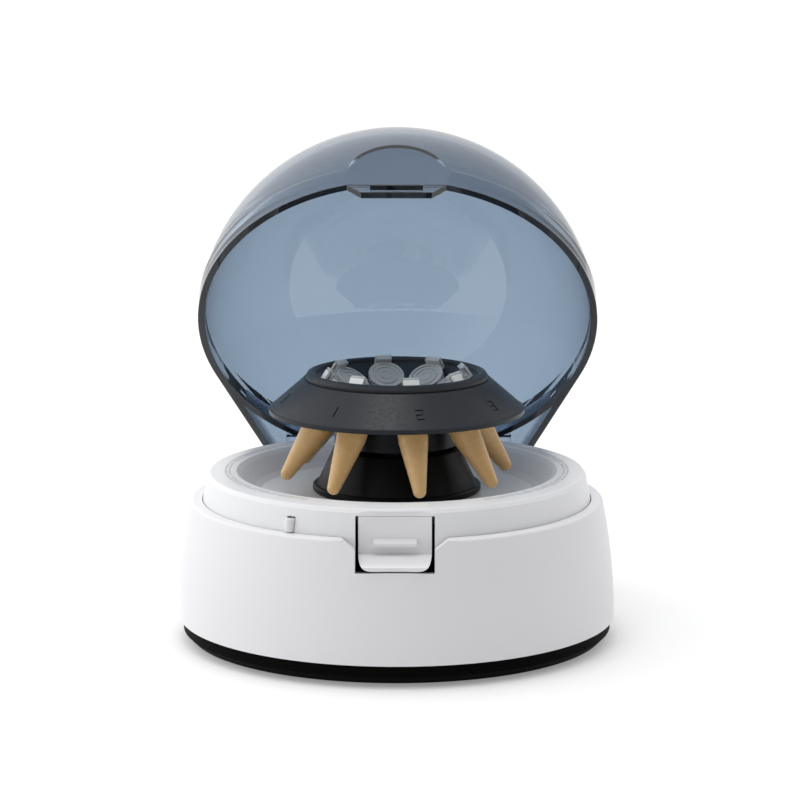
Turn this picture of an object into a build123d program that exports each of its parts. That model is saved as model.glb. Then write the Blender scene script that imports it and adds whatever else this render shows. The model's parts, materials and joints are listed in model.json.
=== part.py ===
from build123d import *
import math
import os

# A bench-top mini centrifuge with a hinged clear lid, drawn with the lid open on its rear stop.
# Everything is modelled in millimetres about the spindle (X right, Y to the rear, Z up, the
# bench at Z = 0) and moved by SPINDLE_Y on export, so that the origin ends up at the bottom
# centre of the open machine's bounding box.

SPINDLE_Y = -15.44           # where the spindle stands along Y in the exported frame
EPS = 0.01

# ---- housing -----------------------------------------------------------------------------
BODY_R_BOTTOM = 77.5         # front radius of the white body at its lower edge
BODY_R_TOP = 73.0            # and at the ledge that the lid closes onto
BODY_Z_BOTTOM = 8.0
LEDGE_Z = 50.0
BACK_Y = 88.0                # flat rear face
TANGENT_DEG = 22.0           # the sides run off the front circle at this angle
WALL = 2.4
CORNER_R = 9.0               # rear corners of the body

# ---- deck: the ring and the rotor bowl -----------------------------------------------------
RING_R_FOOT = 68.8           # ring wall where it leaves the ledge
RING_R_TOP = 67.2
RING_TOP_Z = 60.0
RING_GAP = 0.3
MOUTH_R = 55.2
BOWL_R = 49.0
BOWL_Z = 52.6
DECK_SKIN = 2.2
DECK_FOOT_Z = 46.5
POST_AT = 42.5               # four posts at (+-POST_AT, +-POST_AT)
POST_R = 4.0

# ---- latch ---------------------------------------------------------------------------------
LATCH_FLAT_Y = -66.0         # flat on the ring wall that the tab lies in
TAB_HALF = 12.4
TAB_SLOT = 1.0
TAB_TOP_Z = 57.2
TAB_FOOT_Z = 39.9
TAB_THICK = 1.8
TAB_ROOT_GAP = 0.12
HOOK_HALF = 7.3
HOOK_REACH = 2.3
HOOK_Z = 47.3                # flat underside that catches the lid's tongue

# ---- lid -----------------------------------------------------------------------------------
LID_R = 72.5
LID_HEIGHT = 71.0
LID_SIDE_R = 64.0            # section radius where the dome leaves the rim
LID_WALL = 2.4
LID_RIM_Z = 50.3
LID_SPARE = 6.0              # how far the lid is carried below its rim before it is trimmed
LID_BACK_Y = 78.4
LID_CORNER_TOP = 59.6        # roof of the two rear corners
FACET_Y = -70.4              # flat above the latch tongue
FACET_SLOPE = 0.08
TONGUE_Z = 46.3
LID_OPEN_DEG = 52.5
HINGE_Y = 75.0
HINGE_Z = 40.6
KNUCKLE_R = 4.6
PIN_R = 1.5
PIN_CLEAR = 0.05
STEP_Y = 70.5                # rear face of the step behind the ring
SHELF_Z = 43.2               # rear shelf that the open lid comes to rest on
EAR_IN, EAR_OUT = 38.0, 42.5
WELL_HALF = 37.4
WELL_FLOOR_Z = 34.5

# ---- rotor and tubes -----------------------------------------------------------------------
TUBES = 8
TUBE_DEG = 34.0              # lean of each tube from the spindle
FIRST_TUBE_DEG = -90.0 + 12.0
CAP_TOP_R = 18.6             # radius and height of a cap's top centre
CAP_TOP_Z = 90.9
TUBE_LEN = 39.7
CAP_R = 6.4
CAP_THICK = 1.5
CAP_HINGE_X, CAP_HINGE_Z = 7.6, 1.6   # hinge bead, from the cap's top centre
CAP_HINGE_HALF = 2.8
COLLAR_R = 6.1
COLLAR_THICK = 1.6
TUBE_R = 5.35
TUBE_TIP_R = 2.3
TUBE_SKIN = 0.9
TUBE_STRAIGHT = 18.5         # from the cap top to where the taper starts
POCKET_R = 5.55
SPOT_R = 6.9                 # flat seat round each pocket
ROTOR_R = 45.2
ROTOR_RIM_Z = 81.0
SKIRT_LOW, SKIRT_TOP = 82.6, 92.8   # heights of the numbered cone
SKIRT_TOP_R = 33.0
HUB_BORE_R = 6.05
HUB_SEAT_Z = 72.0

# ---- motor ---------------------------------------------------------------------------------
MOTOR_R = 18.0
MOTOR_FACE_Z = 66.5
MOTOR_LEN = 50.0
SHAFT_R = 1.58
COVER_FLANGE_R = 29.8
COVER_TOP_R = 22.0
COVER_TOP_Z = 68.5
COVER_SCREW_R = 23.4
COVER_SCREW_ANGLES = (30, 150, 270)
MOTOR_SCREW_X = 12.5

# ---- base pan, board and rear fittings -----------------------------------------------------
PAN_Z = 1.2                  # underside of the pan
PAN_BOSS_Z = 10.0
FEET = [(-52, -30), (52, -30), (-36, 62), (36, 62)]
BOARD = (-26.0, 30.0, 34.0, 66.0)   # x0, x1, y0, y1 of the control board
BOARD_Z = 15.0
SOCKET_X, SWITCH_X = 24.0, -22.0
REAR_Z = 21.5
SOCKET_R = 4.4
SWITCH_HALF = (6.3, 9.3)     # half width and half height of the switch's cut-out
INTERLOCK_DEG = -31.3        # interlock's bearing around the spindle from the front

written = []


def save(name, shape):
    """Writes one node, moved from the spindle's frame to the exported one."""
    moved = Pos(0, SPINDLE_Y, 0) * shape
    moved.label = name
    export_step(moved, f"parts/{name}.step")
    written.append(name)


def section(points):
    """A closed face in the plane of X and Z from (radius, height) points."""
    return Plane.XZ * make_face(Polyline(*points, close=True))


def turned(points):
    return revolve(section(points), Axis.Z)


def ring(outer, inner, low, high):
    return turned([(inner, low), (outer, low), (outer, high), (inner, high)])


def rod(radius, low, high, x=0, y=0):
    return Pos(x, y, (low + high) / 2) * Cylinder(radius, high - low)


def block(x0, x1, y0, y1, z0, z1):
    return Pos((x0 + x1) / 2, (y0 + y1) / 2, (z0 + z1) / 2) * Box(x1 - x0, y1 - y0, z1 - z0)


def cross_rod(radius, x0, x1, y, z):
    """A cylinder along X."""
    return Pos((x0 + x1) / 2, y, z) * Rot(0, 90, 0) * Cylinder(radius, x1 - x0)


def prism_x(points, x0, x1):
    """A (y, z) outline pushed along X."""
    face = Plane.YZ * make_face(Polyline(*points, close=True))
    return Pos(x0, 0, 0) * extrude(face, x1 - x0, dir=(1, 0, 0))


def prism_y(points, y0, y1):
    """An (x, z) outline pushed along Y."""
    return Pos(0, y0, 0) * extrude(section(points), y1 - y0, dir=(0, 1, 0))


def joined(shapes):
    """Adds solids up into one shape."""
    total = None
    for shape in shapes:
        total = shape if total is None else total + shape
    return total


def group(shapes):
    """Separate solids under one node name."""
    return Compound([solid for shape in shapes for solid in shape.solids()])


def round_edges(solid, radius, height):
    """The circular edges of a given radius at a given height."""
    return [e for e in solid.edges() if e.geom_type == GeomType.CIRCLE
            and abs(e.radius - radius) < EPS and abs(e.center().Z - height) < EPS]


def teardrop(face, back_y):
    """A round front that runs off along tangents to a flat back. face is half a section, from
    the spindle out, in the plane of X and Z."""
    lean = math.radians(TANGENT_DEG)
    start = Rot(0, 0, TANGENT_DEG) * face
    front = revolve(start, Axis.Z, -(180 + 2 * TANGENT_DEG))
    side = extrude(start, 2 * back_y, dir=(-math.sin(lean), math.cos(lean), 0))
    whole = front + side + mirror(side, Plane.YZ)
    box = whole.bounding_box()
    return whole & block(box.min.X, box.max.X, box.min.Y, back_y, box.min.Z, box.max.Z)


def rounded_back(solid, radius, back_y):
    """Rounds the two upright edges at the back."""
    edges = [e for e in solid.edges()
             if abs(e.center().Y - back_y) < 0.5 and abs(e.center().X) > 20
             and e.bounding_box().size.Z > 0.8 * solid.bounding_box().size.Z]
    return fillet(edges, radius)


def plan_prism(radius, back_y, corner_r, low, high):
    """The same plan pushed straight up."""
    half = section([(0, low), (radius, low), (radius, high), (0, high)])
    return rounded_back(teardrop(half, back_y), corner_r, back_y)


# ---- the body ------------------------------------------------------------------------------
def body_face(inset, low, high):
    """Half the body's section: upright at the bottom, leaning in towards the ledge."""
    rise = LEDGE_Z - BODY_Z_BOTTOM
    lean_in = BODY_R_BOTTOM - BODY_R_TOP
    curve_r = (rise ** 2 + lean_in ** 2) / (2 * lean_in)

    def radius(z):
        return BODY_R_BOTTOM - curve_r + math.sqrt(curve_r ** 2 - (z - BODY_Z_BOTTOM) ** 2) - inset

    middle = (low + high) / 2
    side = ThreePointArc((radius(low), low), (radius(middle), middle), (radius(high), high))
    outline = Polyline((radius(high), high), (0, high), (0, low), (radius(low), low))
    return Plane.XZ * make_face(side + outline)


def outer_housing():
    """White outer shell: wall, ledge, rear shelf with the hinge well, latch cut-out."""
    outside = rounded_back(teardrop(body_face(0, BODY_Z_BOTTOM, LEDGE_Z), BACK_Y), CORNER_R, BACK_Y)
    inner_face = body_face(WALL, BODY_Z_BOTTOM - 2, LEDGE_Z - WALL)
    inside = rounded_back(teardrop(inner_face, BACK_Y - WALL), CORNER_R - WALL, BACK_Y - WALL)
    shell = outside - inside
    top_edge = [e for e in shell.edges()
                if abs(e.center().Z - LEDGE_Z) < EPS and e.bounding_box().max.Z < LEDGE_Z + EPS]
    shell = fillet(top_edge, 1.2)
    # solid stock for the latch cut-out, the step behind the ring and the hinge
    latch_stock = block(-21, 21, -80, -60, 37, LEDGE_Z - 0.2) & outside
    step_stock = block(-70, 70, 67.6, STEP_Y, SHELF_Z - 2.4, LEDGE_Z - 0.2) & outside
    hinge_stock = block(-50, 50, 66, BACK_Y - 1, WELL_FLOOR_Z - 2.2, SHELF_Z) & outside
    shelf = block(-70, 70, 68, BACK_Y, SHELF_Z - 2.4, SHELF_Z) & outside
    latch_stock -= rod(RING_R_FOOT + RING_GAP - 1.5, 30, 60)
    shell = shell + latch_stock + step_stock + hinge_stock + shelf
    shell -= rod(RING_R_FOOT + RING_GAP, DECK_FOOT_Z - 0.3, 60)
    shell -= block(-80, 80, STEP_Y, 100, SHELF_Z, 60)
    # latch: the dip for the tongue and the opening that the tab hangs in
    dip = [(-17.9, 51), (-17.9, LEDGE_Z), (-12.6, TONGUE_Z - 0.3), (12.6, TONGUE_Z - 0.3),
           (17.9, LEDGE_Z), (17.9, 51)]
    shell -= prism_y(dip, -90, -60)
    opening = TAB_HALF + TAB_SLOT
    # the sill is thin and falls away inwards, where the lug swings down as it is pushed
    sill = [(-90, TAB_FOOT_Z - 0.25), (-75.0, TAB_FOOT_Z - 0.25), (-73.6, TAB_FOOT_Z - 0.8),
            (-73.6, 38.0), (-58, 38.0), (-58, 60), (-90, 60)]
    shell -= prism_x(sill, -opening, opening)
    # hinge well, ear slots, pin hole and the fixed barrel
    shell -= block(-WELL_HALF, WELL_HALF, 69.6, 80.6, WELL_FLOOR_Z, 60)
    for side in (-1, 1):
        low, high = sorted((side * (EAR_IN - 0.7), side * (EAR_OUT + 0.7)))
        shell -= block(low, high, 69.6, 85.4, WELL_FLOOR_Z, 60)
        low, high = sorted((side * (EAR_OUT + 0.7), side * 50.0))
        shell += cross_rod(KNUCKLE_R, low, high - 1, HINGE_Y, HINGE_Z)
    shell += cross_rod(KNUCKLE_R, -28.5, 28.5, HINGE_Y, HINGE_Z)
    shell += block(-28.5, 28.5, 72.5, 77.5, WELL_FLOOR_Z - 1, HINGE_Z)
    shell -= cross_rod(PIN_R + PIN_CLEAR / 2, -47.2, 47.2, HINGE_Y, HINGE_Z)
    # rear wall: power socket and rocker switch
    shell -= Pos(SOCKET_X, BACK_Y, REAR_Z) * Rot(90, 0, 0) * Cylinder(SOCKET_R + 0.1, 12)
    half_w, half_h = SWITCH_HALF
    shell -= block(SWITCH_X - half_w, SWITCH_X + half_w, BACK_Y - 8, BACK_Y + 2,
                   REAR_Z - half_h, REAR_Z + half_h)
    return shell


# ---- rear fittings -------------------------------------------------------------------------
def power_socket():
    """Round DC socket with its centre contact."""
    at = Pos(SOCKET_X, 0, REAR_Z)
    rod_y = lambda r, y0, y1: at * Pos(0, (y0 + y1) / 2, 0) * Rot(90, 0, 0) * Cylinder(r, y1 - y0)
    outside = BACK_Y + 1.2
    shell = rod_y(5.6, BACK_Y + 0.02, outside) + rod_y(SOCKET_R, BACK_Y - 13, BACK_Y + 0.5)
    shell -= rod_y(3.15, BACK_Y - 10, outside + 1)
    contact = rod_y(1.0, BACK_Y - 10, outside - 1.2)
    nut = rod_y(5.9, BACK_Y - WALL - 2.2, BACK_Y - WALL - 0.05)
    nut &= block(SOCKET_X - 5.1, SOCKET_X + 5.1, 70, 90, REAR_Z - 8, REAR_Z + 8)
    nut -= rod_y(SOCKET_R + 0.03, 70, 90)
    return shell, contact, nut


def power_switch():
    """Rocker switch: bezel and body in one, the rocker apart on its pivot."""
    half_w, half_h = SWITCH_HALF
    x, z = SWITCH_X, REAR_Z
    bezel = block(x - half_w - 1.6, x + half_w + 1.6, BACK_Y + 0.02, BACK_Y + 1.6,
                  z - half_h - 1.6, z + half_h + 1.6)
    bezel = fillet(bezel.edges().filter_by(Axis.Y), 1.2)
    body = block(x - half_w + 0.1, x + half_w - 0.1, BACK_Y - 14, BACK_Y + 0.5,
                 z - half_h + 0.1, z + half_h - 0.1)
    body += bezel
    body -= block(x - 4.6, x + 4.6, BACK_Y - 8, BACK_Y + 3, z - 7.8, z + 7.8)
    for dx in (-3.2, 3.2):
        body += block(x + dx - 0.4, x + dx + 0.4, BACK_Y - 19, BACK_Y - 13.5, z - 2.2, z + 2.2)
    pivot_y = BACK_Y - 2.0
    # seen from the side the rocker is a shallow V: one half stands out while the other is in
    outline = [(pivot_y - 3.0, z - 6.0), (pivot_y + 2.55, z - 7.3), (pivot_y + 3.2, z - 0.56),
               (pivot_y + 4.9, z + 6.0), (pivot_y - 3.0, z + 5.8)]
    rocker = prism_x(outline, x - 4.35, x + 4.35)
    rocker -= cross_rod(1.0, x - 5, x + 5, pivot_y, z)
    pin = cross_rod(0.97, x - 4.6 + EPS, x + 4.6 - EPS, pivot_y, z)
    return body, rocker, pin


# ---- deck ----------------------------------------------------------------------------------
def ring_outline():
    """(radius, height) of the deck's skin, outside and then inside."""
    return [
        (RING_R_FOOT - DECK_SKIN, DECK_FOOT_Z), (RING_R_FOOT, DECK_FOOT_Z), (RING_R_FOOT, LEDGE_Z),
        (RING_R_TOP, 58.2), (66.2, 59.6), (61.5, RING_TOP_Z), (MOUTH_R + 1.6, RING_TOP_Z),
        (MOUTH_R, 58.8), (BOWL_R + 1.5, BOWL_Z + 1.4), (BOWL_R - 0.6, BOWL_Z),
        (COVER_TOP_R - 1, BOWL_Z), (COVER_TOP_R - 1, BOWL_Z - DECK_SKIN),
        (BOWL_R, BOWL_Z - DECK_SKIN), (BOWL_R + 3.2, BOWL_Z), (MOUTH_R + 2.4, 57.4),
        (61.5, RING_TOP_Z - DECK_SKIN), (RING_R_TOP - DECK_SKIN - 0.4, 57.6),
    ]


def chamber_deck():
    """Upper moulding: ring wall, flat ring, rotor bowl and the four posts below."""
    deck = turned(ring_outline())
    deck = fillet(round_edges(deck, 66.2, 59.6), 0.6)
    deck = fillet(round_edges(deck, MOUTH_R + 1.6, RING_TOP_Z), 0.9)
    # the flat that the latch lies in, with stock behind it
    stock = block(-17.5, 17.5, -68, LATCH_FLAT_Y + DECK_SKIN, DECK_FOOT_Z, 57.6)
    stock &= rod(RING_R_TOP - 0.3, 40, 60)
    deck += stock
    opening = TAB_HALF + TAB_SLOT
    deck -= block(-opening, opening, -80, LATCH_FLAT_Y, DECK_FOOT_Z - 1, 58.9)
    deck -= block(-opening, opening, -80, -60, DECK_FOOT_Z - 1, TAB_TOP_Z)
    # slot for the lid interlock plunger
    deck -= interlock_frame(block(-1.7, 1.7, -72, -62, 50.05, 55.4))
    # web that the interlock switch is screwed to
    deck += interlock_frame(block(-7.2, 6.2, -54.58, -52.6, 43.0, 55.5))
    post = rod(POST_R, PAN_BOSS_Z + 0.1, 58.0) - rod(1.25, 0, PAN_BOSS_Z + 14)
    for x in (-POST_AT, POST_AT):
        for y in (-POST_AT, POST_AT):
            deck += Pos(x, y, 0) * post
    for angle in COVER_SCREW_ANGLES:
        deck -= Rot(0, 0, angle) * rod(1.7, BOWL_Z - 4, BOWL_Z + 1, COVER_SCREW_R)
    return deck


def latch_tab():
    """Flexing tab between the two slots, with its hook and its push lug."""
    back = LATCH_FLAT_Y + TAB_THICK
    tab = block(-TAB_HALF, TAB_HALF, LATCH_FLAT_Y, back, TAB_FOOT_Z, TAB_TOP_Z - TAB_ROOT_GAP)
    lug = prism_x([(back, 44.2), (-67.0, 44.2), (-74.0, 42.2), (-75.2, 41.4), (-75.2, 40.6),
                   (-74.4, TAB_FOOT_Z), (back, TAB_FOOT_Z)], -TAB_HALF, TAB_HALF)
    tab += lug
    foot_edges = [e for e in tab.edges().filter_by(Axis.Y)
                  if abs(abs(e.center().X) - TAB_HALF) < EPS and e.center().Z < TAB_FOOT_Z + EPS]
    tab = fillet(foot_edges, 4.8)
    # the root's rear edge is cut back so that it clears the deck when the tab flexes
    root_edges = [e for e in tab.edges().filter_by(Axis.X)
                  if abs(e.center().Y - back) < EPS and e.center().Z > TAB_TOP_Z - 1]
    tab = chamfer(root_edges, 0.6)
    nose = LATCH_FLAT_Y - HOOK_REACH
    hook = [(LATCH_FLAT_Y + 0.5, HOOK_Z + 2.4), (LATCH_FLAT_Y, HOOK_Z + 2.2), (nose, HOOK_Z + 1.0),
            (nose, HOOK_Z), (LATCH_FLAT_Y + 0.5, HOOK_Z)]
    return tab + prism_x(hook, -HOOK_HALF, HOOK_HALF)


# ---- lid interlock -------------------------------------------------------------------------
def interlock_frame(shape):
    """Places a shape drawn at the front (facing -Y) at the interlock's bearing."""
    return Rot(0, 0, INTERLOCK_DEG) * shape


def interlock_plunger():
    """Rounded slider that the closing lid pushes in."""
    head = rod(1.5, 50.3, 54.7, 0, -68.9) + block(-1.5, 1.5, -68.9, -63.4, 50.3, 54.7)
    flange = block(-2.8, 2.8, -64.4, -63.2, 49.4, 55.9)
    foot = block(-1.5, 1.5, -64.4, -63.2, 45.2, 50.0)
    return interlock_frame(head + flange + foot)


def microswitch():
    """Snap-action switch: body with two pins, and its lever leaf."""
    body = block(-7.2, 6.2, -60.4, -54.6, 42.6, 49.4)
    body += block(-0.8, 0.8, -60.9, -60.2, 45.2, 46.8)
    for x in (-4.5, 3.5):
        body += block(x - 0.4, x + 0.4, -58.2, -57.4, 39.0, 42.8)
    body += block(-7.0, -5.6, -61.6, -60.2, 44.0, 48.0)
    leaf = prism_z([(-5.3, -61.6), (-5.3, -61.25), (5.8, -62.65), (5.8, -63.0)], 44.4, 47.6)
    return interlock_frame(body), interlock_frame(leaf)


def prism_z(points, low, high):
    face = make_face(Polyline(*points, close=True))
    return Pos(0, 0, low) * extrude(face, high - low, dir=(0, 0, 1))


# ---- base pan and feet ---------------------------------------------------------------------
def base_pan():
    """Black bottom with a rolled edge, screw bosses, board posts, vents and foot recesses."""
    top = BODY_Z_BOTTOM - 0.1
    inset = 1.4
    lip = WALL + 0.5
    outside = plan_prism(BODY_R_BOTTOM - inset, BACK_Y - inset, 7.5, PAN_Z, top)
    outside = chamfer([e for e in outside.edges() if e.bounding_box().max.Z < PAN_Z + EPS], 2.6)
    outside += plan_prism(BODY_R_BOTTOM - lip, BACK_Y - lip, 6.0, top - 1, top + 3.6)
    inside = plan_prism(BODY_R_BOTTOM - lip - 1.6, BACK_Y - lip - 1.6, 4.4, PAN_Z + 2.2, top + 5)
    inside = chamfer([e for e in inside.edges() if e.bounding_box().max.Z < PAN_Z + 2.2 + EPS], 2.0)
    pan = outside - inside
    boss = rod(4.6, PAN_Z + 1, PAN_BOSS_Z)
    for x in (-POST_AT, POST_AT):
        for y in (-POST_AT, POST_AT):
            pan += Pos(x, y, 0) * boss
            pan -= Pos(x, y, 0) * (rod(1.7, 0, 12) + rod(3.2, 0, PAN_Z + 2.6))
    x0, x1, y0, y1 = BOARD
    for x in (x0 + 4, x1 - 4):
        for y in (y0 + 4, y1 - 4):
            pan += rod(2.6, PAN_Z + 1, BOARD_Z, x, y) - rod(1.0, BOARD_Z - 6, BOARD_Z + 1, x, y)
    for x, y in FEET:
        pan += rod(8.4, PAN_Z + 1, PAN_Z + 3.4, x, y)
        pan -= rod(7.1, 0, PAN_Z + 1.2, x, y)
        pan -= rod(2.0, 0, 8, x, y)
    for i in range(-3, 4):
        pan -= Pos(i * 7.0, -34, 0) * block(-1.2, 1.2, -12, 12, 0, 6)
    return pan


def rubber_feet():
    """Four feet, each a shallow suction cup with a button that snaps through the pan."""
    foot = turned([(0, 0.6), (4.6, 0.4), (5.4, 0), (6.6, 0), (7.0, 0.8), (7.0, PAN_Z + 1.1),
                   (1.9, PAN_Z + 1.1), (1.9, PAN_Z + 3.5), (3.0, PAN_Z + 3.5), (2.2, PAN_Z + 5.2),
                   (0, PAN_Z + 5.4)])
    return group(Pos(x, y, 0) * foot for x, y in FEET)


def pan_screw(length, thread_r, head_r, head_h):
    """A pan-head screw pointing up from Z = 0 (the underside of its head)."""
    screw = rod(thread_r, 0, length) + rod(head_r, -head_h, EPS)
    screw = fillet([e for e in screw.edges() if abs(e.center().Z + head_h) < EPS], head_h * 0.45)
    for turn in (0, 90):
        screw -= Rot(0, 0, turn) * block(-head_r * 0.6, head_r * 0.6, -0.35, 0.35, -head_h - 1, -head_h * 0.45)
    return screw


# ---- motor, cover and spindle --------------------------------------------------------------
def motor_cover():
    """Black cone over the motor; its top plate carries the motor."""
    flange_top = BOWL_Z + 2.6
    low = BOWL_Z + 0.75
    face = [(COVER_FLANGE_R - 4, low), (COVER_FLANGE_R, low), (COVER_FLANGE_R, flange_top - 0.5),
            (COVER_FLANGE_R - 0.5, flange_top), (28.3, flange_top), (COVER_TOP_R + 0.4, COVER_TOP_Z - 0.6),
            (COVER_TOP_R - 0.4, COVER_TOP_Z), (7.0, COVER_TOP_Z), (7.0, MOTOR_FACE_Z),
            (19.6, MOTOR_FACE_Z), (25.6, flange_top), (COVER_FLANGE_R - 4, flange_top)]
    cover = turned(face)
    solid_cone = turned([(0, low), (27, low), (20.6, 67), (0, 67)])
    for angle in COVER_SCREW_ANGLES:
        boss = rod(3.0, low, 62.5, COVER_SCREW_R)
        cover += Rot(0, 0, angle) * boss & solid_cone
    for angle in COVER_SCREW_ANGLES:
        cover -= Rot(0, 0, angle) * rod(1.15, BOWL_Z - 1, 61, COVER_SCREW_R)
    for x in (-MOTOR_SCREW_X, MOTOR_SCREW_X):
        cover -= rod(1.7, 60, 70, x, 0)
    return cover


def motor_parts():
    """Can, end cap, magnets, bearings, armature, commutator, shaft."""
    foot = MOTOR_FACE_Z - MOTOR_LEN
    can = turned([(MOTOR_R, foot + 2), (MOTOR_R, MOTOR_FACE_Z - 0.9), (MOTOR_R - 0.9, MOTOR_FACE_Z - 0.02),
                  (6.3, MOTOR_FACE_Z - 0.02), (6.3, MOTOR_FACE_Z + 2.8), (3.2, MOTOR_FACE_Z + 2.8),
                  (3.2, MOTOR_FACE_Z - 1.2), (MOTOR_R - 1.2, MOTOR_FACE_Z - 1.2), (MOTOR_R - 1.2, foot + 2)])
    for x in (-MOTOR_SCREW_X, MOTOR_SCREW_X):
        can -= rod(1.25, 60, 70, x, 0)
    end_cap = turned([(3.2, foot - 3), (7, foot - 3), (7, foot), (MOTOR_R - 1.22, foot),
                      (MOTOR_R - 1.22, foot + 6), (MOTOR_R - 3, foot + 6), (MOTOR_R - 3, foot + 2.2),
                      (3.2, foot + 2.2)])
    for x in (-11, 11):
        end_cap += block(x - 2, x + 2, -0.4, 0.4, foot - 4.5, foot + 0.5)
    brushes = []
    for side in (-1, 1):
        low, high = sorted((side * 13.2, side * 15.6))
        end_cap += block(low, high, -2.6, 2.6, foot + 1.8, foot + 9)
        low, high = sorted((side * 5.3, side * 13.2))
        brushes.append(block(low, high, -1.5, 1.5, foot + 5.2, foot + 8.6))
    magnets = ring(MOTOR_R - 1.25, MOTOR_R - 4.6, foot + 12, foot + 42)
    magnets -= block(-3, 3, -30, 30, 0, 80)
    bushes = [ring(3.17, SHAFT_R + 0.04, MOTOR_FACE_Z - 0.8, MOTOR_FACE_Z + 2.6),
              ring(3.17, SHAFT_R + 0.04, foot - 2.6, foot + 1.8)]
    core = rod(12.4, foot + 14, foot + 40) - rod(SHAFT_R, 0, 80)
    for i in range(5):
        core -= Rot(0, 0, 72 * i) * block(11.3, 14, -1.1, 1.1, foot + 13, foot + 41)
        core -= Rot(0, 0, 72 * i) * block(6.4, 11.4, -2.6, 2.6, foot + 13, foot + 41)
    windings = []
    for i in range(5):
        coil = block(6.6, 11.2, -2.4, 2.4, foot + 12, foot + 42)
        windings.append(Rot(0, 0, 72 * i) * coil)
    commutator = ring(5.0, SHAFT_R, foot + 4, foot + 11)
    for i in range(5):
        commutator -= Rot(0, 0, 72 * i + 36) * block(4.2, 6, -0.3, 0.3, foot + 3, foot + 12)
    shaft = rod(SHAFT_R, foot - 2.8, 84.0)
    return can, end_cap, group(brushes), magnets, group(bushes), core, group(windings), commutator, shaft


def drive_hub():
    """Adaptor pressed on the shaft; the rotor pushes down onto it."""
    hub = turned([(SHAFT_R, HUB_SEAT_Z - 2), (9.0, HUB_SEAT_Z - 2), (9.0, HUB_SEAT_Z - 0.1), (6.0, HUB_SEAT_Z - 0.1),
                  (6.0, 77.4), (5.3, 77.4), (5.3, 78.8), (6.0, 78.8), (6.0, 83.6), (5.0, 84.6),
                  (SHAFT_R, 84.6)])
    return hub


def hub_ring():
    """Rubber ring in the hub's groove that grips the rotor."""
    profile = Plane.XZ * (Pos(5.35 + 0.32, 78.1) * Circle(0.32))
    return revolve(profile, Axis.Z)


# ---- rotor ---------------------------------------------------------------------------------
DIGIT_BARS = {
    "a": (0, 1, 1), "b": (1, 0.5, 0), "c": (1, -0.5, 0), "d": (0, -1, 1),
    "e": (-1, -0.5, 0), "f": (-1, 0.5, 0), "g": (0, 0, 1),
}
DIGITS = ["bc", "abged", "abgcd", "fgbc", "afgcd", "afgedc", "abc", "abcdefg"]


def seat_line(r, drop=0.0):
    """Height of the dish at radius r: square to a tube, under its collar."""
    lean = math.radians(TUBE_DEG)
    below = CAP_THICK + COLLAR_THICK + drop
    r0 = CAP_TOP_R + below * math.sin(lean)
    z0 = CAP_TOP_Z - below * math.cos(lean)
    return z0 + (r - r0) * math.tan(lean)


def along_tube(shape, number):
    """Places a shape drawn with its cap top at the origin and its tip down -Z in pocket number."""
    tilted = Pos(CAP_TOP_R, 0, CAP_TOP_Z) * Rot(0, -TUBE_DEG, 0) * shape
    return Rot(0, 0, FIRST_TUBE_DEG + number * 360 / TUBES) * tilted


def rotor():
    """Black eight-place rotor: conical skirt, rolled lip, dish, sleeves and hub."""
    skin = 2.2
    outline = [
        (ROTOR_R, ROTOR_RIM_Z), (ROTOR_R, SKIRT_LOW - 0.2), (ROTOR_R - 0.5, SKIRT_LOW),
        (SKIRT_TOP_R, SKIRT_TOP), (SKIRT_TOP_R - 0.9, SKIRT_TOP), (32.2, 93.9), (31.4, 95.0),
        (30.1, 95.4), (29.0, 94.9), (28.5, 94.3), (28.3, seat_line(28.3)), (10.0, seat_line(10.0)),
        (7.6, seat_line(10.0)), (7.6, 86.2), (7.0, 86.8), (HUB_BORE_R, 86.8), (HUB_BORE_R, HUB_SEAT_Z),
        (9.4, HUB_SEAT_Z), (9.4, 78.0), (18.2, 78.0), (20.0, 69.9), (22.2, 69.9), (20.4, 79.4),
        (31.0, 88.2), (ROTOR_R - skin, 81.9), (ROTOR_R - skin, ROTOR_RIM_Z),
    ]
    body = turned(outline)
    sleeve = rod(POCKET_R + 1.5, -16.5, -CAP_THICK - COLLAR_THICK - 1.0)
    keep = turned([(0, 79.4), (40, 79.4), (40, 84.5), (31, 93), (28, seat_line(28) - 0.5),
                   (10, seat_line(10) - 0.5), (0, seat_line(10) - 0.5)])
    for n in range(TUBES):
        body += along_tube(sleeve, n) & keep
    body -= rod(HUB_BORE_R, 60, 90)
    for n in range(TUBES):
        body -= along_tube(rod(POCKET_R, -40, 6) + rod(SPOT_R, -CAP_THICK - COLLAR_THICK, 6), n)
        body -= number_mark(n)
    return body


def number_mark(n):
    """The place number, as engraved bars on the skirt above its tube."""
    lean = math.atan2(SKIRT_TOP - SKIRT_LOW, ROTOR_R - 0.5 - SKIRT_TOP_R)
    down = 1.4
    middle_r = (ROTOR_R - 0.5 + SKIRT_TOP_R) / 2 + down * math.cos(lean)
    middle_z = (SKIRT_TOP + SKIRT_LOW) / 2 - down * math.sin(lean)
    half_w, half_h, line, depth = 1.15, 2.0, 0.5, 0.35
    bars = []
    for bar in DIGITS[(n + 1) % TUBES]:
        x, y, flat = DIGIT_BARS[bar]
        size = (2 * half_w + line, line) if flat else (line, half_h + line)
        bars.append(Pos(x * half_w, y * half_h) * Rectangle(*size))
    face = joined(bars)
    # the plane's x runs round the skirt and its y runs up the slope
    plane = Plane(origin=(middle_r, 0, middle_z), x_dir=(0, 1, 0),
                  z_dir=(math.sin(lean), 0, math.cos(lean)))
    mark = extrude(plane * face, depth, both=True)
    return Rot(0, 0, FIRST_TUBE_DEG + n * 360 / TUBES) * mark


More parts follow.
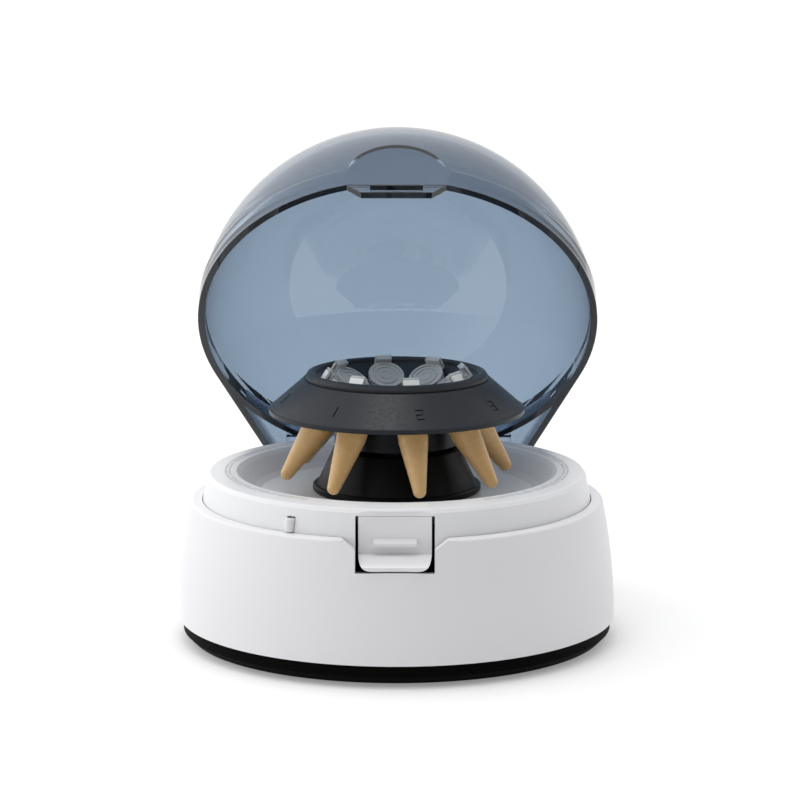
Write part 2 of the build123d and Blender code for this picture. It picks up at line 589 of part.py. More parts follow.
def sample_tube():
    """Conical 1.5 ml tube with its collar and hinge strap, drawn down -Z from the cap top."""
    under_cap = -CAP_THICK
    tip_centre = -TUBE_LEN + TUBE_TIP_R
    outside = [(0, under_cap), (COLLAR_R, under_cap), (COLLAR_R, under_cap - COLLAR_THICK),
               (TUBE_R, under_cap - COLLAR_THICK), (TUBE_R - 0.15, -TUBE_STRAIGHT),
               (TUBE_TIP_R, tip_centre), (0, tip_centre)]
    inside = [(0, under_cap + 1), (TUBE_R - TUBE_SKIN, under_cap + 1),
              (TUBE_R - TUBE_SKIN - 0.15, -TUBE_STRAIGHT), (TUBE_TIP_R - TUBE_SKIN, tip_centre), (0, tip_centre)]
    tube = turned(outside) + Pos(0, 0, tip_centre) * Sphere(TUBE_TIP_R)
    # strap from the collar up to the cap's hinge bead
    low = under_cap - COLLAR_THICK + 0.2
    tube += block(5.5, 8.2, -CAP_HINGE_HALF, CAP_HINGE_HALF, low, low + 0.8)
    tube += block(7.4, 8.2, -CAP_HINGE_HALF, CAP_HINGE_HALF, low, CAP_HINGE_Z - 0.6)
    return tube - turned(inside) - Pos(0, 0, tip_centre) * Sphere(TUBE_TIP_R - TUBE_SKIN)


def tube_cap():
    """Snap cap with its plug, raised rings, thumb tab and hinge loop."""
    gap = 0.03
    cap = rod(CAP_R, -CAP_THICK + gap, 0)
    cap -= rod(CAP_R - 1.0, -0.35, 1)
    cap += ring(4.4, 3.8, -0.5, -0.05) + ring(2.2, 1.7, -0.5, -0.1)
    cap += ring(TUBE_R - TUBE_SKIN - 0.12, TUBE_R - TUBE_SKIN - 0.9, -CAP_THICK - 1.6, -CAP_THICK + 0.2)
    tab = block(-CAP_R - 2.2, -CAP_R + 1.0, -2.2, 2.2, -CAP_THICK + gap, -0.5)
    half = CAP_HINGE_HALF
    loop = block(5.9, 6.8, -half, half, -CAP_THICK + gap, CAP_HINGE_Z + 0.3)
    loop += block(6.5, CAP_HINGE_X, -half, half, CAP_HINGE_Z - 0.3, CAP_HINGE_Z + 0.3)
    loop += Pos(CAP_HINGE_X, 0, CAP_HINGE_Z) * Rot(90, 0, 0) * Cylinder(0.5, 2 * half)
    return cap + tab + loop


# ---- lid -----------------------------------------------------------------------------------
def dome(inset):
    """The dome from two tangent arcs, carried straight down past the rim plane."""
    side_centre = LID_R - LID_SIDE_R
    drop = (side_centre ** 2 - (LID_HEIGHT - LID_SIDE_R) ** 2) / (2 * (LID_HEIGHT - LID_SIDE_R))
    turn = math.atan2(drop, side_centre)
    low = LID_RIM_Z - LID_SPARE

    def side_point(angle):
        reach = LID_SIDE_R - inset
        return side_centre + reach * math.cos(angle), LID_RIM_Z + reach * math.sin(angle)

    def top_point(angle):
        reach = LID_HEIGHT + drop - inset
        return reach * math.cos(angle), LID_RIM_Z - drop + reach * math.sin(angle)

    side = ThreePointArc(side_point(0), side_point(turn / 2), side_point(turn))
    top = ThreePointArc(top_point(turn), top_point((turn + math.pi / 2) / 2), (0, LID_RIM_Z + LID_HEIGHT - inset))
    rest = Polyline((0, LID_RIM_Z + LID_HEIGHT - inset), (0, low), (LID_R - inset, low), side_point(0))
    return revolve(Plane.XZ * make_face(side + top + rest), Axis.Z)


def lid_shell():
    """Clear lid as closed: dome, two rear corners, facet with the latch tongue, hinge ears."""
    low = LID_RIM_Z - LID_SPARE
    corner = plan_prism(LID_R, LID_BACK_Y, 3.0, low, LID_CORNER_TOP)
    roof_edges = [e for e in corner.edges() if abs(e.center().Z - LID_CORNER_TOP) < EPS]
    corner = fillet(roof_edges, 2.0)
    outside = dome(0) + corner
    hollow = dome(LID_WALL)
    back = LID_BACK_Y - LID_WALL
    nook = plan_prism(LID_R - LID_WALL, back, 1.0, low, LID_CORNER_TOP - LID_WALL)
    nook -= rod(LID_R, 0, 200)
    # the facet and, behind it, as much wall as elsewhere
    far = 120.0
    front = [(-90, LID_RIM_Z - 20), (FACET_Y - 20 * FACET_SLOPE, LID_RIM_Z - 20),
             (FACET_Y + far * FACET_SLOPE, LID_RIM_Z + far), (-90, LID_RIM_Z + far)]
    facet_cut = prism_x(front, -40, 40)
    thick_cut = Pos(0, LID_WALL, 0) * facet_cut
    tongue = prism_y([(-17.4, LID_RIM_Z + 1), (-17.4, LID_RIM_Z), (-12.3, TONGUE_Z), (12.3, TONGUE_Z),
                      (17.4, LID_RIM_Z), (17.4, LID_RIM_Z + 1)], FACET_Y - 0.4, FACET_Y + LID_WALL)
    lid = outside - (hollow - thick_cut) - nook
    lid -= block(-90, 90, -90, 90, low - 1, LID_RIM_Z)
    lid = lid + tongue - facet_cut
    lid -= block(-9.2, 9.2, -75, LATCH_FLAT_Y - 0.8, HOOK_Z - 0.2, HOOK_Z + 2.9)
    web_top = LID_CORNER_TOP - LID_WALL
    for side in (-1, 1):
        low, high = sorted((side * EAR_IN, side * EAR_OUT))
        ear = cross_rod(KNUCKLE_R, low, high, HINGE_Y, HINGE_Z)
        # the web drops behind the housing's step and widens above it
        web = [(STEP_Y + 0.1, HINGE_Z), (LID_BACK_Y, HINGE_Z + 2), (LID_BACK_Y, web_top),
               (66.0, web_top), (66.0, LID_RIM_Z + 0.2), (STEP_Y + 0.1, LID_RIM_Z + 0.2)]
        lid += ear + prism_x(web, low, high)
    lid -= cross_rod(PIN_R + PIN_CLEAR, -48, 48, HINGE_Y, HINGE_Z)
    return lid


def opened(shape):
    """Swings a part of the lid from closed to open about the hinge."""
    return Pos(0, HINGE_Y, HINGE_Z) * Rot(-LID_OPEN_DEG, 0, 0) * Pos(0, -HINGE_Y, -HINGE_Z) * shape


def lid_springs():
    """Two coiled torsion springs round the pin."""
    wire, mean, turns = 0.45, 3.3, 5
    pitch = 2 * wire + 0.25
    springs = []
    for side in (-1, 1):
        start = 30.4
        path = Helix(pitch, pitch * turns, mean)
        profile = Plane(origin=path @ 0, z_dir=path % 0) * Circle(wire)
        coil = sweep(profile, path=path, is_frenet=True)
        coil = Pos(start, HINGE_Y, HINGE_Z) * Rot(0, 90, 0) * coil
        springs.append(coil if side > 0 else mirror(coil, Plane.YZ))
    return group(springs)


# ---- control board -------------------------------------------------------------------------
def control_board():
    x0, x1, y0, y1 = BOARD
    board = block(x0, x1, y0, y1, BOARD_Z + 0.02, BOARD_Z + 1.62)
    holes = [(x, y) for x in (x0 + 4, x1 - 4) for y in (y0 + 4, y1 - 4)]
    for x, y in holes:
        board -= rod(1.5, 0, 30, x, y)
    top = BOARD_Z + 1.64
    bits = [rod(5.0, top, top + 12.5, x1 - 11, y1 - 9), rod(4.0, top, top + 11, x1 - 21, y1 - 8)]
    bits.append(block(x0 + 12, x0 + 22, y0 + 5, y0 + 11, top, top + 2.2))
    bits.append(block(x0 + 10, x0 + 20, y1 - 8, y1 - 3.6, top, top + 9.5))
    bits.append(block(x1 - 14, x1 - 4.6, y0 + 7.4, y0 + 13, top, top + 6))
    for i in range(4):
        bits.append(block(x0 + 26 + 4 * i, x0 + 28 + 4 * i, y0 + 4, y0 + 7.2, top, top + 0.8))
    screws = [Pos(x, y, BOARD_Z + 1.64) * Rot(180, 0, 0) * pan_screw(5.5, 0.98, 1.9, 1.3) for x, y in holes]
    return board, group(bits), group(screws)


def motor_leads():
    """Two insulated leads from the motor's terminals to the board's terminal block."""
    end_y = BOARD[2] + 7.38
    routes = [
        [(11, 1.05, 13), (11, 14, 11.5), (14, 25, 12.5), (19.0, 31.5, 20.5), (19.0, end_y, 20.2)],
        [(-11, 1.05, 13), (-9, 12, 10.5), (4, 24, 10.5), (16, 28, 12),
         (22.8, 32.5, 20.5), (22.8, end_y, 20.2)],
    ]
    leads = []
    for route in routes:
        path = FilletPolyline(*route, radius=corner_radii(route))
        leads.append(sweep(Plane(origin=path @ 0, z_dir=path % 0) * Circle(0.55), path=path))
    return group(leads)


def corner_radii(route):
    """The largest arc that the two runs at each corner of a route leave room for."""
    radii = []
    for before, at, after in zip(route, route[1:], route[2:]):
        run_in, run_out = Vector(*at) - Vector(*before), Vector(*after) - Vector(*at)
        half_turn = math.radians(run_in.get_angle(run_out)) / 2
        radii.append(0.45 * min(run_in.length, run_out.length) / math.tan(half_turn))
    return radii


def build():
    os.makedirs("parts", exist_ok=True)
    save("outer_housing", outer_housing())
    save("chamber_deck", chamber_deck())
    save("latch_tab", latch_tab())
    save("base_pan", base_pan())
    save("rubber_feet", rubber_feet())
    case_screw = pan_screw(18, 1.24, 2.9, 1.9)
    corners = [(x, y) for x in (-POST_AT, POST_AT) for y in (-POST_AT, POST_AT)]
    save("case_screws", group(Pos(x, y, PAN_Z + 2.58) * case_screw for x, y in corners))
    save("motor_cover", motor_cover())
    save("cover_gasket", ring(COVER_FLANGE_R - 0.8, 26.8, BOWL_Z + 0.02, BOWL_Z + 0.73))
    cover_screw = Pos(COVER_SCREW_R, 0, BOWL_Z - DECK_SKIN - 0.02) * pan_screw(9.5, 1.13, 2.4, 1.6)
    save("cover_screws", group(Rot(0, 0, a) * cover_screw for a in COVER_SCREW_ANGLES))
    can, end_cap, brushes, magnets, bushes, core, windings, commutator, shaft = motor_parts()
    save("motor_can", can)
    save("motor_end_cap", end_cap)
    save("motor_brushes", brushes)
    save("motor_magnets", magnets)
    save("motor_bushes", bushes)
    save("armature_core", core)
    save("armature_windings", windings)
    save("commutator", commutator)
    save("motor_shaft", shaft)
    motor_screw = Rot(180, 0, 0) * pan_screw(5.0, 1.23, 2.5, 1.0)
    save("motor_screws", group(Pos(x, 0, COVER_TOP_Z + 0.02) * motor_screw for x in (-MOTOR_SCREW_X, MOTOR_SCREW_X)))
    save("drive_hub", drive_hub())
    save("hub_ring", hub_ring())
    save("rotor", rotor())
    tube, cap = sample_tube(), tube_cap()
    for n in range(TUBES):
        save(f"tube_{n + 1}", along_tube(tube, n))
        save(f"tube_cap_{n + 1}", along_tube(cap, n))
    save("lid_shell", opened(lid_shell()))
    save("hinge_pin", cross_rod(PIN_R, -47, 47, HINGE_Y, HINGE_Z))
    save("lid_springs", lid_springs())
    save("interlock_plunger", interlock_plunger())
    switch_body, leaf = microswitch()
    save("microswitch", switch_body)
    save("microswitch_lever", leaf)
    board, bits, screws = control_board()
    save("control_board", board)
    save("board_components", bits)
    save("board_screws", screws)
    save("motor_leads", motor_leads())
    socket, contact, nut = power_socket()
    save("power_socket", socket)
    save("power_socket_contact", contact)
    save("power_socket_nut", nut)
    body, rocker, pivot = power_switch()
    save("power_switch_body", body)
    save("power_rocker", rocker)
    save("rocker_pivot", pivot)


build()
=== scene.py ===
import json
import math

import bpy
from mathutils import Matrix, Vector


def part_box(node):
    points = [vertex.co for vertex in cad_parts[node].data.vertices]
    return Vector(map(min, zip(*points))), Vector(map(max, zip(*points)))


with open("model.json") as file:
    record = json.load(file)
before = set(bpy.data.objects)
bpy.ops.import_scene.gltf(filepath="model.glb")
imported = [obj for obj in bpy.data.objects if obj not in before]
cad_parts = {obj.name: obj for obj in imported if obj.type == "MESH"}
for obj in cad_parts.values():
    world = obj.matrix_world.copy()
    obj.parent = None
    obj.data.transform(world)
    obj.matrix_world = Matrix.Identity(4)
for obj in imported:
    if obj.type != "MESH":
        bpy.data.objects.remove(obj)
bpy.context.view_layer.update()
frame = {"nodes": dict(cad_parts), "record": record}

NODES = frame["nodes"]

# The spindle is vertical, in the middle of the rotor.
rotor_low, rotor_high = (Vector(corner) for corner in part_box("rotor"))
SPINDLE = (rotor_low + rotor_high) / 2
SPINDLE.z = 0.0

# Camera: how far from the spindle, how far above the bench, and where it looks.
CAMERA_DISTANCE = 1.2
CAMERA_HEIGHT = 0.3055
CAMERA_BEARING = math.radians(0.5)
CAMERA_ASIDE = math.radians(0.055)
CAMERA_DOWN = math.radians(10.42)
LENS_MM = 155.2
SENSOR_MM = 36.0

# Lamp, floor and sky.
LAMP_PLACE = (-0.1, -0.12, 1.2)
LAMP_SIZE = (0.5, 0.35)
LAMP_WATTS = 2.4
LAMP_TARGET_Z = 0.08
FLOOR_HALF = 6.0
FLOOR_GREY = 0.72
FLOOR_GLOW = 0.25
SKY_SLOPE = (-0.48, 0.55, 0.25)
SKY_FRONT_DIP = -0.62        # times y squared
SKY_LEVEL = 1.05
SKY_LEAST = 0.04

# Noise: the middle of its range, which spread() maps, and scales shared by several materials.
NOISE_LOW, NOISE_HIGH = 0.3, 0.7
DRIFT_SCALE = 18
GLOSS_SHARE = 0.35           # of the grain's scale
TOOL_MARK_SCALE = 900

# Lid, in metres from the hinge with the lid closed: its two cut faces, then where the dark of the
# rear corners starts and where it is full.
RIM_ABOVE_HINGE = 0.0097
TONGUE_ABOVE_HINGE = 0.0057
CUT_FACE_HALF = 0.00035
CUT_FACE_CLEARNESS = 0.15
CORNER_ABOVE = (0.0162, 0.0132)
CORNER_BEHIND = (-0.038, -0.028)
CORNER_ASIDE = (0.040, 0.044)
CORNER_SHARE = 0.8
# how quickly the painted shade sets in towards the lid's slanted edges
LID_EDGE_SHADE_POWER = 2.0

# Deck: two rows of dashes on the flat ring, as radius, dashes per radian and groups per radian.
DASH_ROWS = ((0.0593, 71.0, 5.3), (0.0606, 67.0, 6.1))
DASH_HALF_WIDTH = 0.00038
DASH_LENGTH = 0.6            # share of the pitch
GROUP_LENGTH = 0.88
DASH_STRENGTH = 0.62
ARC_MIDDLE, ARC_HALF = math.radians(-5), math.radians(55)
DECK_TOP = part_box("chamber_deck")[1][2]
TOP_DEPTH = 0.0006

# Tubes: their lean, and the underside of the collars as z cos(lean) - r sin(lean).
TUBE_LEAN = math.radians(34)
COLLAR_ALONG = 0.0616


# ---- camera, light and stage ---------------------------------------------------------------
def make_camera():
    """A long lens a little above the bench, almost square on to the front."""
    camera = bpy.data.objects.new("camera", bpy.data.cameras.new("camera"))
    camera.data.lens = LENS_MM
    camera.data.sensor_width = SENSOR_MM
    camera.data.clip_end = 50.0
    across = CAMERA_DISTANCE * math.sin(CAMERA_BEARING)
    forward = CAMERA_DISTANCE * math.cos(CAMERA_BEARING)
    camera.location = SPINDLE + Vector((across, -forward, CAMERA_HEIGHT))
    camera.rotation_euler = (math.pi / 2 - CAMERA_DOWN, 0.0, CAMERA_BEARING - CAMERA_ASIDE)
    bpy.context.scene.collection.objects.link(camera)
    bpy.context.scene.camera = camera


def make_light():
    """A soft box above, which looks at the middle of the object."""
    lamp = bpy.data.lights.new("top", "AREA")
    lamp.shape = "RECTANGLE"
    lamp.size, lamp.size_y = LAMP_SIZE
    lamp.energy = LAMP_WATTS
    light = bpy.data.objects.new("top", lamp)
    light.location = SPINDLE + Vector(LAMP_PLACE)
    target = SPINDLE + Vector((0, 0, LAMP_TARGET_Z))
    light.rotation_euler = (target - light.location).to_track_quat("-Z", "Y").to_euler()
    bpy.context.scene.collection.objects.link(light)


def make_stage():
    """Plain white floor, and a sky that is brightest on the left and dim towards the front."""
    mesh = bpy.data.meshes.new("floor")
    corners = [(x * FLOOR_HALF, y * FLOOR_HALF, 0) for x, y in ((-1, -1), (1, -1), (1, 1), (-1, 1))]
    mesh.from_pydata(corners, [], [(0, 1, 2, 3)])
    floor = bpy.data.objects.new("floor", mesh)
    bpy.context.scene.collection.objects.link(floor)
    material = bpy.data.materials.new("floor_white")
    material.use_nodes = True
    shader = material.node_tree.nodes["Principled BSDF"]
    shader.inputs["Base Color"].default_value = (FLOOR_GREY, FLOOR_GREY, FLOOR_GREY, 1)
    shader.inputs["Roughness"].default_value = 0.8
    shader.inputs["Emission Color"].default_value = (1, 1, 1, 1)
    shader.inputs["Emission Strength"].default_value = FLOOR_GLOW
    floor.data.materials.append(material)
    world = bpy.data.worlds.new("studio")
    world.use_nodes = True
    paint_sky(world.node_tree)
    bpy.context.scene.world = world
    bpy.context.scene.view_settings.view_transform = "Standard"


def paint_sky(tree):
    """Strength from the direction: a level, a slope along each axis and a dip towards the front."""
    where = tree.nodes.new("ShaderNodeTexCoord").outputs["Generated"]
    split = tree.nodes.new("ShaderNodeSeparateXYZ")
    slope = tree.nodes.new("ShaderNodeVectorMath")
    slope.operation = "DOT_PRODUCT"
    slope.inputs[1].default_value = SKY_SLOPE
    square, dip, total, least = (tree.nodes.new("ShaderNodeMath") for _ in range(4))
    square.operation, dip.operation = "MULTIPLY", "MULTIPLY_ADD"
    total.operation, least.operation = "ADD", "MAXIMUM"
    dip.inputs[1].default_value = SKY_FRONT_DIP
    dip.inputs[2].default_value = SKY_LEVEL
    least.inputs[1].default_value = SKY_LEAST
    tree.links.new(where, split.inputs[0])
    tree.links.new(where, slope.inputs[0])
    for slot in (0, 1):
        tree.links.new(split.outputs["Y"], square.inputs[slot])
    tree.links.new(square.outputs[0], dip.inputs[0])
    tree.links.new(dip.outputs[0], total.inputs[0])
    tree.links.new(slope.outputs["Value"], total.inputs[1])
    tree.links.new(total.outputs[0], least.inputs[0])
    tree.links.new(least.outputs[0], tree.nodes["Background"].inputs["Strength"])
    tree.nodes["Background"].inputs["Color"].default_value = (1, 1, 1, 1)


# ---- materials -----------------------------------------------------------------------------
class Surface:
    """A Principled material and short ways to wire textures in object space into it."""

    def __init__(self, name, **sockets):
        self.material = bpy.data.materials.new(name)
        self.material.use_nodes = True
        self.tree = self.material.node_tree
        self.shader = self.tree.nodes["Principled BSDF"]
        self.where = self.tree.nodes.new("ShaderNodeTexCoord").outputs["Object"]
        for socket, value in sockets.items():
            self.shader.inputs[socket.replace("_", " ")].default_value = value

    def node(self, kind, **settings):
        node = self.tree.nodes.new("ShaderNode" + kind)
        for key, value in settings.items():
            if key in node.inputs:
                node.inputs[key].default_value = value
            else:
                setattr(node, key, value)
        return node

    def link(self, source, target):
        self.tree.links.new(source, target)

    def noise(self, scale, detail, stretch=(1, 1, 1)):
        mapping = self.node("Mapping")
        mapping.inputs["Scale"].default_value = stretch
        self.link(self.where, mapping.inputs["Vector"])
        noise = self.node("TexNoise", Scale=scale, Detail=detail)
        self.link(mapping.outputs["Vector"], noise.inputs["Vector"])
        return noise.outputs["Fac"]

    def spread(self, value, low, high):
        """Maps a texture's middle range onto low to high."""
        span = self.node("MapRange")
        limits = {"From Min": NOISE_LOW, "From Max": NOISE_HIGH, "To Min": low, "To Max": high}
        for socket, number in limits.items():
            span.inputs[socket].default_value = number
        self.link(value, span.inputs["Value"])
        return span.outputs["Result"]

    def mixed(self, share, under, over):
        """A colour laid over another, or over an output, where share is high."""
        mix = self.node("Mix", data_type="RGBA")
        if isinstance(under, tuple):
            mix.inputs["A"].default_value = (*under, 1)
        else:
            self.link(under, mix.inputs["A"])
        mix.inputs["B"].default_value = (*over, 1)
        self.link(share, mix.inputs["Factor"])
        return mix.outputs["Result"]

    def maths(self, operation, *values):
        node = self.node("Math", operation=operation)
        for slot, value in enumerate(values):
            if isinstance(value, (int, float)):
                node.inputs[slot].default_value = value
            else:
                self.link(value, node.inputs[slot])
        return node.outputs[0]

    def along(self, direction):
        """How far a point lies along a direction, from the object's own origin."""
        dot = self.node("VectorMath", operation="DOT_PRODUCT")
        dot.inputs[1].default_value = direction
        self.link(self.where, dot.inputs[0])
        return dot.outputs["Value"]

    def ramp(self, value, zero_at, one_at):
        """Smoothly from 0 to 1 between two values, in either order."""
        span = self.node("MapRange", interpolation_type="SMOOTHSTEP")
        span.inputs["From Min"].default_value = zero_at
        span.inputs["From Max"].default_value = one_at
        self.link(value, span.inputs["Value"])
        return span.outputs["Result"]

    def about_spindle(self, node):
        """Radius from the spindle and x, y, z from its foot, for a CAD node at rest."""
        centred = self.node("VectorMath", operation="SUBTRACT")
        centred.inputs[1].default_value = NODES[node].matrix_world.inverted() @ SPINDLE
        split = self.node("SeparateXYZ")
        self.link(self.where, centred.inputs[0])
        self.link(centred.outputs["Vector"], split.inputs[0])
        x, y, z = (split.outputs[axis] for axis in "XYZ")
        squares = self.maths("MULTIPLY_ADD", x, x, self.maths("MULTIPLY", y, y))
        return self.maths("SQRT", squares), x, y, z

    def colour(self, value, first, second):
        self.link(self.mixed(value, first, second), self.shader.inputs["Base Color"])

    def roughness(self, value, low, high):
        self.link(self.spread(value, low, high), self.shader.inputs["Roughness"])

    def relief(self, value, distance, strength=1.0):
        """Height in metres, as a bump."""
        bump = self.node("Bump", Strength=strength, Distance=distance)
        self.link(value, bump.inputs["Height"])
        self.link(bump.outputs["Normal"], self.shader.inputs["Normal"])


def shaded(colour, amount):
    """A colour a little lighter or darker."""
    return tuple(channel * (1 + amount) for channel in colour)


def moulded(name, colour, rough, grain, vary, depth=0.00002, **sockets):
    """Injection-moulded plastic: faint colour drift, fine grain, uneven gloss."""
    surface = Surface(name, **sockets)
    drift = surface.noise(DRIFT_SCALE, 3)
    surface.colour(drift, shaded(colour, -vary), shaded(colour, vary))
    surface.roughness(surface.noise(grain * GLOSS_SHARE, 4), rough - 0.05, rough + 0.06)
    surface.relief(surface.noise(grain, 3), depth)
    return surface


def metal(name, colour, rough, stretch=(1, 1, 1)):
    """Bare metal with tool or draw marks along one direction."""
    surface = Surface(name, Metallic=1.0)
    marks = surface.noise(TOOL_MARK_SCALE, 4, stretch)
    surface.colour(marks, shaded(colour, -0.08), shaded(colour, 0.08))
    surface.roughness(marks, rough - 0.08, rough + 0.1)
    surface.relief(marks, 0.000008)
    return surface


MOULDED = {
    "white_shell": dict(colour=(0.76, 0.76, 0.78), rough=0.36, grain=2600, vary=0.012, depth=0.000018),
    "black_pan": dict(colour=(0.002, 0.002, 0.002), rough=0.6, grain=1800, vary=0.15, depth=0.00003,
                      Specular_IOR_Level=0.03),
    "rubber": dict(colour=(0.028, 0.028, 0.029), rough=0.78, grain=1200, vary=0.15, depth=0.00005),
    "cover_black": dict(colour=(0.0015, 0.0017, 0.0022), rough=0.42, grain=900, vary=0.1, depth=0.000006,
                        Specular_IOR_Level=0.14),
    "rotor_black": dict(colour=(0.0055, 0.0085, 0.0135), rough=0.4, grain=2400, vary=0.1, depth=0.00001,
                        Specular_IOR_Level=0.3),
    "dark_plastic": dict(colour=(0.035, 0.035, 0.038), rough=0.5, grain=1500, vary=0.12),
    "rocker_black": dict(colour=(0.012, 0.0125, 0.014), rough=0.22, grain=1200, vary=0.1, depth=0.00001),
    "component_black": dict(colour=(0.04, 0.04, 0.045), rough=0.45, grain=1500, vary=0.12),
    "lead_insulation": dict(colour=(0.42, 0.02, 0.02), rough=0.4, grain=1500, vary=0.08),
    "ferrite": dict(colour=(0.08, 0.08, 0.085), rough=0.6, grain=1500, vary=0.1),
    "carbon": dict(colour=(0.04, 0.04, 0.042), rough=0.55, grain=1500, vary=0.1),
}
METALS = {
    "steel": dict(colour=(0.62, 0.63, 0.65), rough=0.3),
    "motor_steel": dict(colour=(0.55, 0.56, 0.58), rough=0.34, stretch=(1, 1, 0.05)),
    "spring_steel": dict(colour=(0.5, 0.51, 0.53), rough=0.28, stretch=(0.1, 1, 1)),
    "bronze": dict(colour=(0.66, 0.45, 0.22), rough=0.32),
    "aluminium": dict(colour=(0.78, 0.79, 0.80), rough=0.28, stretch=(0.05, 0.05, 1)),
}
LID_HINGE = next(j for j in frame["record"]["behaviour"]["joints"] if j["name"] == "lid_hinge")


def lid_axis(direction):
    """A direction of the closed lid as it lies in the lid's own space, and how far along it the
    hinge is."""
    opened = -math.radians(LID_HINGE["range_deg"][1])
    turned = Matrix.Rotation(opened, 3, "X") @ Vector(direction)
    local = NODES["lid_shell"].matrix_world.inverted()
    there = (local.to_3x3() @ turned).normalized()
    return there, there.dot(local @ Vector(LID_HINGE["pos_m"]))


def smoked_clear():
    """Clear smoke-blue polycarbonate with the faint flow waves of a moulding. The cut faces of
    the rim and the tongue look nearly black, as the light in them has come a long way."""
    surface = Surface("smoked_clear", Roughness=0.03, IOR=1.5)
    upward, hinge_up = lid_axis((0, 0, 1))
    rearward, hinge_back = lid_axis((0, 1, 0))
    height = surface.maths("SUBTRACT", surface.along(upward), hinge_up)
    depth = surface.maths("SUBTRACT", surface.along(rearward), hinge_back)
    width = surface.maths("ABSOLUTE", surface.about_spindle("lid_shell")[1])
    rim, tongue = (surface.maths("COMPARE", height, level, CUT_FACE_HALF)
                   for level in (RIM_ABOVE_HINGE, TONGUE_ABOVE_HINGE))
    cut = surface.maths("MAXIMUM", rim, tongue)
    clear = surface.mixed(surface.noise(9, 2), (0.250, 0.330, 0.430), (0.264, 0.348, 0.452))
    # painted shade: the lid's colour darkens where its surface is seen at a slant, standing in for the
    # dark that refraction through two walls shows at its edges
    slant = surface.node("LayerWeight", Blend=0.5).outputs["Facing"]
    clear = surface.mixed(surface.maths("POWER", slant, LID_EDGE_SHADE_POWER), clear, (0.035, 0.04, 0.06))
    # light runs long through the walls that meet at the two rear corners
    above = surface.ramp(height, *CORNER_ABOVE)
    behind = surface.ramp(depth, *CORNER_BEHIND)
    aside = surface.ramp(width, *CORNER_ASIDE)
    corner = surface.maths("MULTIPLY", surface.maths("MULTIPLY", above, behind), aside)
    corner = surface.maths("MULTIPLY", corner, CORNER_SHARE)
    clear = surface.mixed(corner, clear, (0.02, 0.03, 0.045))
    surface.link(surface.mixed(cut, clear, (0.012, 0.016, 0.022)), surface.shader.inputs["Base Color"])
    clearness = surface.node("MapRange")
    clearness.inputs["To Min"].default_value = 1.0
    clearness.inputs["To Max"].default_value = CUT_FACE_CLEARNESS
    surface.link(cut, clearness.inputs["Value"])
    surface.link(clearness.outputs["Result"], surface.shader.inputs["Transmission Weight"])
    surface.relief(surface.noise(9, 0), 0.00003, 0.25)
    surface.material.diffuse_color = (0.3, 0.42, 0.55, 0.5)
    return surface.material


def deck_plastic():
    """White like the shell, with two arcs of fine printed dashes on the flat ring."""
    surface = moulded("white_deck", (0.775, 0.78, 0.795), 0.32, 2600, 0.012, 0.000012)
    radius, x, y, z = surface.about_spindle("chamber_deck")
    bearing = surface.maths("ARCTAN2", y, surface.maths("ABSOLUTE", x))

    def repeated(count, share):
        """1 over a share of each piece, with count pieces per radian."""
        place = surface.maths("FRACT", surface.maths("MULTIPLY", bearing, count))
        return surface.maths("LESS_THAN", place, share)

    rows = []
    for ring, dashes, groups in DASH_ROWS:
        on_ring = surface.maths("COMPARE", radius, ring, DASH_HALF_WIDTH)
        inked = surface.maths("MULTIPLY", repeated(dashes, DASH_LENGTH), repeated(groups, GROUP_LENGTH))
        rows.append(surface.maths("MULTIPLY", on_ring, inked))
    arc = surface.maths("COMPARE", bearing, ARC_MIDDLE, ARC_HALF)
    top = surface.maths("GREATER_THAN", z, DECK_TOP - TOP_DEPTH)
    marks = surface.maths("MULTIPLY", surface.maths("MULTIPLY", arc, top), surface.maths("MAXIMUM", *rows))
    marks = surface.maths("MULTIPLY", marks, DASH_STRENGTH)
    white = surface.shader.inputs["Base Color"].links[0].from_socket
    surface.link(surface.mixed(marks, white, (0.12, 0.12, 0.13)), surface.shader.inputs["Base Color"])
    return surface.material


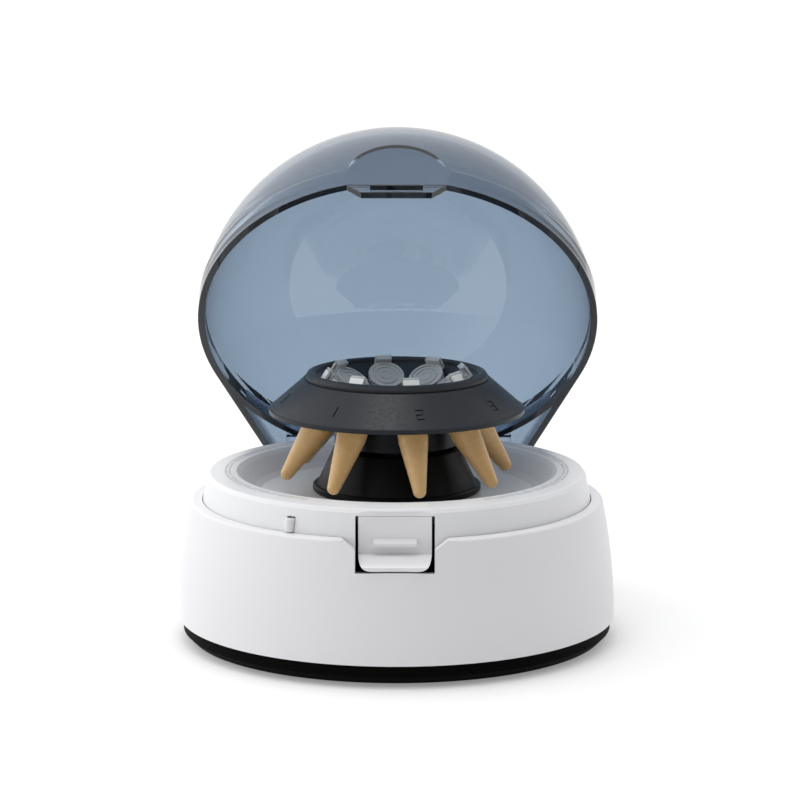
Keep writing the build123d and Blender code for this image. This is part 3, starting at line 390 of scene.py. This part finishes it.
def amber_plastic():
    """Amber polypropylene, with a collar and strap of the natural colour."""
    surface = Surface("tube_amber", IOR=1.48, Sheen_Weight=0.5, Sheen_Roughness=0.35)
    surface.shader.inputs["Sheen Tint"].default_value = (1.0, 0.93, 0.8, 1)
    radius, _, _, z = surface.about_spindle("tube_1")
    along = surface.maths("SUBTRACT", surface.maths("MULTIPLY", z, math.cos(TUBE_LEAN)),
                          surface.maths("MULTIPLY", radius, math.sin(TUBE_LEAN)))
    collar = surface.maths("GREATER_THAN", along, COLLAR_ALONG)
    amber = surface.mixed(surface.noise(60, 1), (0.74, 0.47, 0.20), (0.77, 0.49, 0.215))
    surface.link(surface.mixed(collar, amber, (0.74, 0.77, 0.78)), surface.shader.inputs["Base Color"])
    surface.roughness(surface.noise(300, 2), 0.22, 0.3)
    surface.relief(surface.noise(900, 1), 0.000002)
    return surface.material


def cap_plastic():
    """Natural polypropylene: clear, with a milky tone."""
    surface = Surface("cap_clear", IOR=1.48, Transmission_Weight=0.6)
    surface.colour(surface.noise(60, 2), (0.80, 0.84, 0.86), (0.84, 0.88, 0.90))
    surface.roughness(surface.noise(400, 2), 0.12, 0.2)
    surface.relief(surface.noise(900, 2), 0.000004)
    return surface.material


def circuit_board():
    """Green solder mask over a grid of traces."""
    surface = Surface("board_green", Coat_Weight=0.4)
    traces = surface.node("TexBrick", Scale=160.0)
    traces.inputs["Mortar Size"].default_value = 0.03
    surface.link(surface.where, traces.inputs["Vector"])
    surface.colour(traces.outputs["Fac"], (0.015, 0.13, 0.055), (0.03, 0.22, 0.09))
    surface.roughness(surface.noise(700, 3), 0.25, 0.4)
    surface.relief(traces.outputs["Fac"], 0.00003)
    return surface.material


def wound_copper():
    """Enamelled wire, as fine ridges."""
    surface = Surface("copper", Metallic=1.0)
    wire = surface.node("TexWave", Scale=900.0, Distortion=0.4, bands_direction="Z")
    surface.link(surface.where, wire.inputs["Vector"])
    surface.colour(wire.outputs["Fac"], (0.42, 0.15, 0.06), (0.80, 0.36, 0.17))
    surface.roughness(surface.noise(500, 2), 0.25, 0.4)
    surface.relief(wire.outputs["Fac"], 0.0001)
    return surface.material


def make_materials():
    """One material for each of the record's slots."""
    made = {name: moulded(name, **look).material for name, look in MOULDED.items()}
    made.update({name: metal(name, **look).material for name, look in METALS.items()})
    made.update({
        "white_deck": deck_plastic(),
        "copper": wound_copper(),
        "board_green": circuit_board(),
        "smoked_clear": smoked_clear(),
        "tube_amber": amber_plastic(),
        "cap_clear": cap_plastic(),
    })
    return made


def dress_nodes(materials):
    """Gives every CAD node the material of its slot."""
    for row in frame["record"]["subparts"]:
        node = NODES[row["node"]]
        node.data.materials.clear()
        node.data.materials.append(materials[row["material_slot"]])


def main():
    make_camera()
    make_stage()
    make_light()
    dress_nodes(make_materials())


main()
